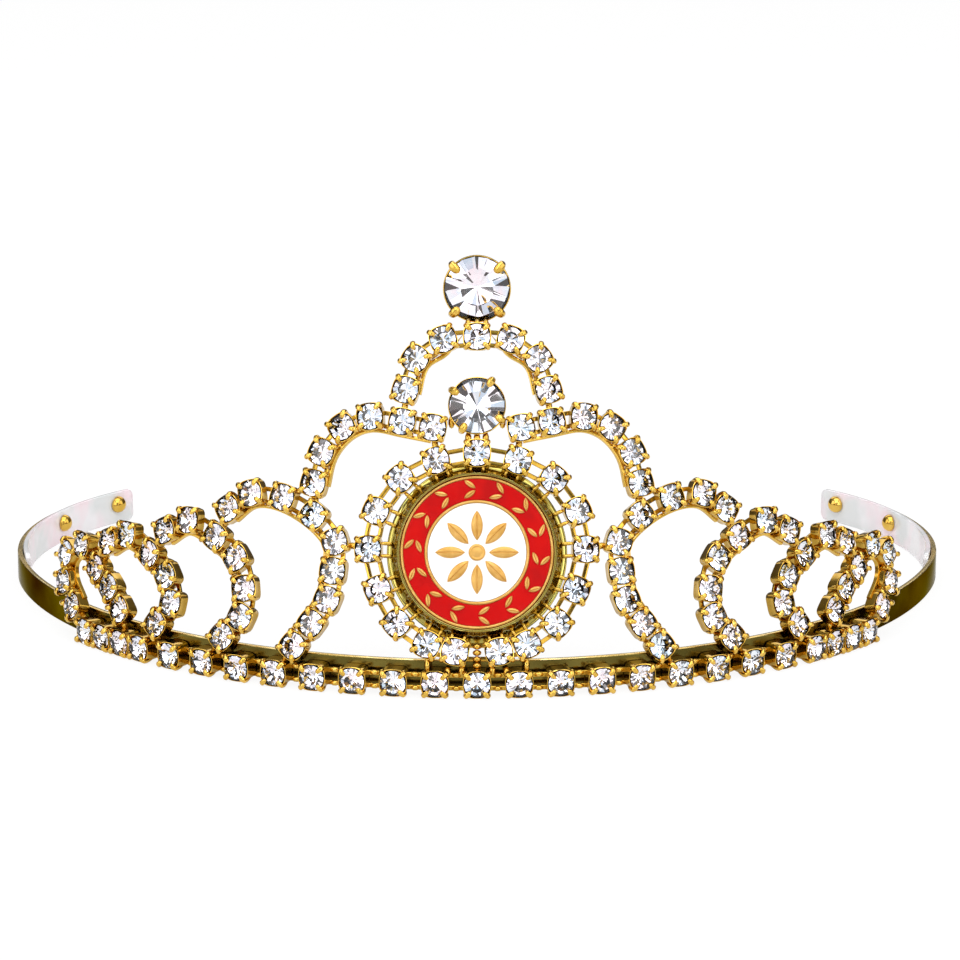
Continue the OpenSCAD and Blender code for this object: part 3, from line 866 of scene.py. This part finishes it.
# %% The top arch and the wreath
for name, (start, steps) in {"top_arch": TOP_ARCH, "wreath": WREATH}.items():
    cups, bars = chain_places(start, steps)
    cups[0] = on_panel(*start)
    both = cups + [mirrored(m) for m in cups[1:]]
    both_bars = bars + [(mirrored(m), s) for m, s in bars]
    if name == "wreath":
        u, v = walk(start, steps)[-1]  # one more bar closes the ring between its two ends
        both_bars.append((on_panel(0, v), -2 * u * (PANEL_R - v * sin(LEAN)) / ROW_R))
    along = [mirrored(m) for m in cups[:0:-1]] + cups
    extra = [inner_strip(along, 1)] if name == "top_arch" else []
    make_chain(name, arch_cup, both, both_bars, extra)


# %% [markdown]
# ## Solder
#
# Arches that touch are joined by drops of solder between their cups, plated with everything else.
# Where the drops fall is worked out from the distances of the cups, and the few at the large
# stones, round the bowl and under the wreath are listed one by one. Each is a stretched ball.


# %% Solder between chains
def solder_places(chains, nearest=3.2, farthest=5.2):
    """Places halfway between cups of different chains whose middles lie near each other, turned so
    that X points from the one to the other."""
    names = list(chains)
    spots = []
    for a, first in enumerate(names):
        for second in names[a + 1:]:
            one = np.array(chains[first])
            two = np.array(chains[second])
            gap = np.linalg.norm(one[:, None, :3, 3] - two[None, :, :3, 3], axis=-1)
            for i, j in zip(*np.nonzero((gap > nearest) & (gap < farthest))):
                m = one[i].copy()
                m[:3, 3] = (one[i][:3, 3] + two[j][:3, 3]) / 2
                along = np.linalg.inv(m[:3, :3]) @ (two[j][:3, 3] - one[i][:3, 3])
                spots.append(m @ turn("Z", np.arctan2(along[1], along[0])) @ shift(0, 0, -1.2))
    return spots


BOWL_EDGE = 12.3
spots = solder_places(all_cups)
print("drops between chains:", len(spots))
crest_foot, inner_foot = CREST_V - 5.2, INNER_V - 4.6
for u, v in ((-1.7, crest_foot), (1.7, crest_foot), (-1.5, inner_foot), (1.5, inner_foot),
             (-4.4, INNER_V - 2.3), (4.4, INNER_V - 2.3), (0, crest_foot), (0, inner_foot)):
    spots.append(on_panel(u, v) @ turn("Z", pi / 2) @ shift(0, 0, -1.1))
medallion = on_panel(0, MEDALLION_V)
bridges = []
for cup in all_cups["wreath"]:
    x, y = (np.linalg.inv(medallion) @ cup)[:2, 3]
    middle = (np.hypot(x, y) - CUP_WIDE / 2 + BOWL_EDGE) / 2
    for side in (-0.9, 0.9):
        bridges.append(medallion @ turn("Z", np.arctan2(y, x)) @ shift(middle, side, -1.45))
beads = [medallion @ shift(0, -down, -1.0) for down in (13.4, 14.3, 15.2, 16.1, 17.0)]
drips = [medallion @ shift(x, -down, -1.0) for side in (-1, 1)
         for x, down in ((2.2 * side, 16.8), (4.2 * side, 17.0))]
long_drips = [medallion @ shift(x, -15.9, -1.0) for x in (-7.1, 7.1)]
solder = join(placed(blob(0.95, 0.5, 0.5), spots), placed(blob(0.95, 0.3, 0.34), bridges),
              placed(blob(0.66, 0.46, 0.5), beads), placed(blob(0.5, 0.75, 0.5), drips),
              placed(blob(0.45, 1.2, 0.5), long_drips))
# The solder is painted a little darker all over: painted shade.
make_piece("solder", solder, [bright_gold], [],
           shade=np.full(len(solder[0]), SOLDER_PAINTED_SHADE))

# %% [markdown]
# ## The large stones
#
# The two large stones stand in turned baskets with four heavier claws, and are cut like the small
# ones with more sides. The depth of the back matters: too deep a back sends the light down into the
# basket, and the stone goes black. Basket, claws and stone all grow with the stone's size.


# %% Large claw settings
def large_setting(name, place, size, claw_turn, stone_turn):
    """A turned basket with four claws bent over the stone, and the stone in it. Each radius is a
    share of half the size, and each height and the claws' thickness a share of the size."""
    r = size / 2
    basket = turned([
        (0, -0.46 * size), (0.5 * r, -0.46 * size), (0.62 * r, -0.455 * size), (0.68 * r, -0.43 * size),
        (0.86 * r, -0.25 * size), (0.98 * r, -0.1 * size), (1.03 * r, -0.04 * size),
        (1.045 * r, -0.015 * size), (1.035 * r, 0.008 * size), (1.012 * r, 0.01 * size),
        (1.005 * r, -0.01 * size), (0.97 * r, -0.06 * size),
        (0.8 * r, -0.2 * size), (0.5 * r, -0.36 * size), (0.2 * r, -0.44 * size), (0, -0.45 * size),
    ], 64)
    w = 0.058 * size
    claw = swept_claw(
        [(0.84 * r, -0.26 * size), (1.0 * r, -0.13 * size), (1.08 * r, -0.03 * size),
         (1.1 * r, 0.05 * size),
         (1.06 * r, 0.105 * size), (0.98 * r, 0.13 * size), (0.9 * r, 0.13 * size)],
        [0.6 * w, 0.75 * w, 0.85 * w, w, 1.15 * w, 1.3 * w, 1.2 * w], sides=14, flat=0.8,
    )
    make_piece(name + "_basket", placed(join(basket, four_turned(claw, 45 + claw_turn)), [place]),
               [bright_gold], [name + "_setting"])
    stone, back = chaton(radius=r, sides=16, table=0.5, crown=0.12 * size, girdle=0.025 * size,
                         pavilion=0.43 * size, uneven=0.006 * size)
    make_piece(name + "_crystal", placed(stone, [place @ turn("Z", radians(stone_turn))]),
               [crystal, foil], [name + "_stone"], smooth_under=0, face_material=back)


large_setting("crest", on_panel(0, CREST_V) @ turn("X", CREST_TIP), size=9.4, claw_turn=0,
              stone_turn=4)
large_setting("inner", on_panel(0, INNER_V), size=8.0, claw_turn=14, stone_turn=11)

# %% [markdown]
# ## The medallion
#
# A struck disc with two raised rims, a field of enamel between them, and raised gold on the enamel.
# It lies in a deep bowl of olive-toned gold whose wall is finely fluted and leans in to the front.
# All but the leaves is round, so each is a profile turned round one axis, with the roundings of its
# edges in the profile. The flutes are pressed in afterwards, by moving the wall's own points.


# %% The fluted bowl
BOWL_BORE, BOWL_WALL = 11.35, 12


def fluted(shape, count, depth, low, high):
    """Presses fine flutes into a turned shape: the radius of points between two heights goes in by
    depth times half of one plus the cosine of count times the angle, as a share of the wall's own
    radius. Points inside the bowl's bore stay."""
    p, f = shape
    angle = np.arctan2(p[:, 1], p[:, 0])
    outer = (p[:, 2] > low) & (p[:, 2] < high) & (np.hypot(p[:, 0], p[:, 1]) > BOWL_BORE)
    press = 1 - outer * depth * 0.5 * (1 + np.cos(count * angle)) / BOWL_WALL
    return np.stack([p[:, 0] * press, p[:, 1] * press, p[:, 2]], -1), f


bowl = turned([
    (0, -1.9), (8, -1.9), (11.8, -1.92), (12.0, -2.2), (12.8, -2.22), (12.92, -2.15), (12.95, -2.05),
    (12.88, -1.95), (12.4, -1.9), (12.25, -1.8), (12.21, -1.45), (12.17, -1.25),
    (12.08, -0.85), (11.92, -0.4), (11.74, 0.05), (11.6, 0.35), (11.5, 0.6), (11.43, 0.76),
    (11.34, 0.84), (11.22, 0.86), (11.12, 0.83), (11.06, 0.74), (11.05, 0.4), (11.05, -1.08),
    (8, -1.1), (0, -1.1),
], 576)
bowl = fluted(bowl, count=72, depth=0.12, low=-1.6, high=0.5)
make_piece("medallion_bowl", placed(bowl, [medallion]), [olive_gold],
           ["medallion_bezel"])

# %% The disc and its enamel
disc = turned([
    (0, -1.05), (10.9, -1.05), (11, -0.95), (11, 0.42), (10.96, 0.52), (10.85, 0.58), (10.74, 0.58),
    (10.64, 0.53), (10.6, 0.44), (10.6, 0.2), (7.5, 0.2), (7.5, 0.44), (7.46, 0.53), (7.37, 0.58),
    (7.23, 0.58), (7.14, 0.53), (7.1, 0.44), (7.1, 0.2), (0, 0.2),
], 240)
make_piece("struck_disc", placed(disc, [medallion]), [ornament_gold],
           ["medallion_disc"])

red_field = ring_of([
    (7.55, 0.25), (10.55, 0.25), (10.55, 0.45), (10.5, 0.49), (10.3, 0.5), (9.05, 0.49), (7.8, 0.5),
    (7.6, 0.49), (7.55, 0.45),
], 200)
make_piece("red_field", placed(red_field, [medallion]), [red_glaze], ["red_enamel"])
white_field = turned([
    (0, 0.25), (7.05, 0.25), (7.05, 0.45), (7.0, 0.49), (6.8, 0.5), (4, 0.49), (0, 0.49),
], 200)
make_piece("white_field", placed(white_field, [medallion]), [white_glaze],
           ["white_enamel"])


# %% Raised gold
RELIEF_FOOT = 0.45
RING_MIDDLE, PETALS, SPRIGS = 9.05, 8, 14


def leaf(length, width, low, high):
    """A pointed leaf along X, from the origin. Its half width is that of two crossing arcs, its top
    falls off with the fourth power across, and a fine groove runs down its middle."""
    radius = (length ** 2 + width ** 2) / (4 * width)
    t = (1 - np.cos(np.linspace(0.04, 0.96, 17) * pi)) / 2
    half = np.sqrt(radius ** 2 - (length * (t - 0.5)) ** 2) - (radius - width / 2)
    across = np.array([-1, -0.93, -0.75, -0.45, -0.14, 0, 0.14, 0.45, 0.75, 0.93, 1])
    top = (1 - across ** 4) ** 0.5 - 0.22 * (np.abs(across) < 0.1)
    ends = np.minimum(1, half / (0.3 * width)) ** 0.5
    grid = np.stack([
        np.repeat(t[:, None] * length, len(across), 1), half[:, None] * across,
        low + (high - low) * top[None] * ends[:, None],
    ], -1)
    under = np.stack([t * length, np.zeros_like(t), np.full_like(t, low)], -1)[:, None]
    return tube(np.concatenate([grid, under], 1))


rosette = placed(leaf(length=4.3, width=1.7, low=RELIEF_FOOT, high=0.8),
                 [turn("Z", radians(90 + 360 / PETALS * k)) @ shift(1.7, 0, 0) for k in range(PETALS)])
boss = turned([
    (0, RELIEF_FOOT), (1.2, RELIEF_FOOT), (1.2, 0.62), (1.12, 0.74), (0.95, 0.8), (0.8, 0.74),
    (0.72, 0.74), (0.5, 0.82), (0, 0.84),
], 40)
sprigs = placed(leaf(length=2, width=0.8, low=RELIEF_FOOT, high=0.78), [
    turn("Z", radians(90 + 360 / SPRIGS * k)) @ shift(RING_MIDDLE, 0, 0)
    @ turn("Z", radians(90 + side * 35)) @ shift(0.25, 0, 0)
    for k in range(SPRIGS) for side in (-1, 1)
])
make_piece("raised_gold", placed(join(boss, rosette, sprigs), [medallion]), [ornament_gold],
           ["medallion_ornament"])

# %% [markdown]
# ## Band, pads and rivets
#
# The band is one flat strip: a wide front arc that turns smoothly into a tighter arc at each end.
# A strip is a rounded oblong section carried along that line, so band and pads share one helper.
# The pads are moulded strips inside the band's ends, and a rivet with a large dome inside and a
# small one outside goes through both.

# %% Sizes of band and pads
BAND_R, BACK_R = 74.2, 46.0
FRONT_ANGLE, BACK_ANGLE = 75.0, 61.2
BACK_X = (BAND_R - BACK_R) * sin(radians(FRONT_ANGLE))
BACK_Y = -(BAND_R - BACK_R) * cos(radians(FRONT_ANGLE))
BAND_THICK, BAND_LOW, BAND_HIGH = 0.8, 0.3, 4.8
PAD_GAP, PAD_THICK, PAD_HIGH, PAD_ANGLE = 0.13, 0.8, 5.3, 60
print("middle of the end arcs:", round(BACK_X, 2), round(BACK_Y, 2))


# %% A strip along arcs
def strip(centre, angles, outer, inner, low, high, corner, end_round):
    """A rounded oblong section carried along arcs. centre and outer give each station's arc: its
    middle plus the radius times the sine of the angle, and less the radius times the cosine. Near
    both ends the section's height shrinks along a quarter circle of radius end_round."""
    a = np.radians(angles)
    q = np.linspace(0, pi / 2, 4)
    half_t, half_h = (outer - inner) / 2, (high - low) / 2
    run = np.concatenate([[0], np.cumsum(np.abs(np.diff(a)) * outer[1:])])
    near = np.minimum(end_round, np.minimum(run, run[-1] - run))
    cut = end_round - np.sqrt(np.maximum(end_round ** 2 - (end_round - near) ** 2, 0))
    columns = []
    for sx, sz in ((1, -1), (1, 1), (-1, 1), (-1, -1)):
        for angle in (q if sx * sz > 0 else q[::-1]):
            x = sx * (half_t - corner + corner * cos(angle))
            z = sz * (half_h - cut - corner + corner * sin(angle))
            columns.append((x, z))
    middle_r, middle_z = (outer + inner) / 2, (high + low) / 2
    grid = np.stack([
        np.stack([
            centre[:, 0] + (middle_r + x) * np.sin(a),
            centre[:, 1] - (middle_r + x) * np.cos(a), middle_z + z,
        ], -1)
        for x, z in columns
    ], 1)
    return tube(grid)


def arc_stations(first, last, count):
    """Angles that crowd towards both ends, where the rounding is."""
    t = np.linspace(0, 1, count)
    ends = np.array([0.002, 0.005, 0.009, 0.014])
    t = np.unique(np.concatenate([t, ends, 1 - ends]))
    return first + (last - first) * t


# %% The band
end_angle = FRONT_ANGLE + BACK_ANGLE
angles = arc_stations(-end_angle, end_angle, 221)
on_end = np.abs(angles) > FRONT_ANGLE
one = np.ones_like(angles)
centres = np.stack([np.sign(angles) * BACK_X, BACK_Y * one], -1) * on_end[:, None]
radii = np.where(on_end, BACK_R, BAND_R)
band = strip(centres, angles, radii, radii - BAND_THICK, BAND_LOW, BAND_HIGH, corner=0.2,
             end_round=0.9)
# The band's top and bottom faces take the pale gold: a painted highlight.
corners = band[0][np.where(band[1] < 0, band[1][:, :1], band[1])]
facing = np.cross(corners[:, 2] - corners[:, 0], corners[:, 3] - corners[:, 1])
painted_highlight_faces = np.abs(facing[:, 2]) > 0.6 * np.linalg.norm(facing, axis=1)  # top and bottom
make_piece("band", band, [band_painted_dark_gold, edge_highlight_gold], ["headband"], face_material=painted_highlight_faces)

# %% The pads
angles = arc_stations(end_angle - PAD_ANGLE, end_angle, 61)
one = np.ones_like(angles)
pad_outer = (BACK_R - BAND_THICK - PAD_GAP) * one
pad = strip(np.stack([BACK_X * one, BACK_Y * one], -1), angles, pad_outer, pad_outer - PAD_THICK,
            0, PAD_HIGH, corner=0.22, end_round=1.0)
make_piece("pad_right", pad, [milky], ["end_pad_right"])
make_piece("pad_left", flipped(pad), [milky], ["end_pad_left"])


# %% Rivets
RIVET_Z, RIVET_ANGLES = 3.25, {"rear": 4.5, "front": 23.5}


def on_end_arc(angle, z):
    """The place at an angle of the right-hand end arc, Z pointing out of the band."""
    return (shift(BACK_X, BACK_Y, z) @ turn("Z", radians(angle)) @ turn("X", pi / 2)
            @ shift(0, 0, BACK_R))


head = BAND_THICK + PAD_GAP + PAD_THICK + 0.1
rivet = turned([
    (0, 0.43), (0.35, 0.43), (0.54, 0.41), (0.7, 0.3), (0.88, 0.14), (0.9, 0.08), (0.5, 0.08),
    (0.5, -head), (1.32, -head), (1.4, -head - 0.1), (1.4, -head - 0.25), (1.31, -head - 0.55),
    (1.13, -head - 0.86), (0.85, -head - 1.12), (0.48, -head - 1.31), (0, -head - 1.38),
], 40)
for name, angle in RIVET_ANGLES.items():
    right = placed(rivet, [on_end_arc(end_angle - angle, RIVET_Z)])
    for side, dome in (("right", right), ("left", flipped(right))):
        make_piece(f"dome_{side}_{name}", dome, [bright_gold],
                   [f"rivet_{side}_{name}"], smooth_under=50)
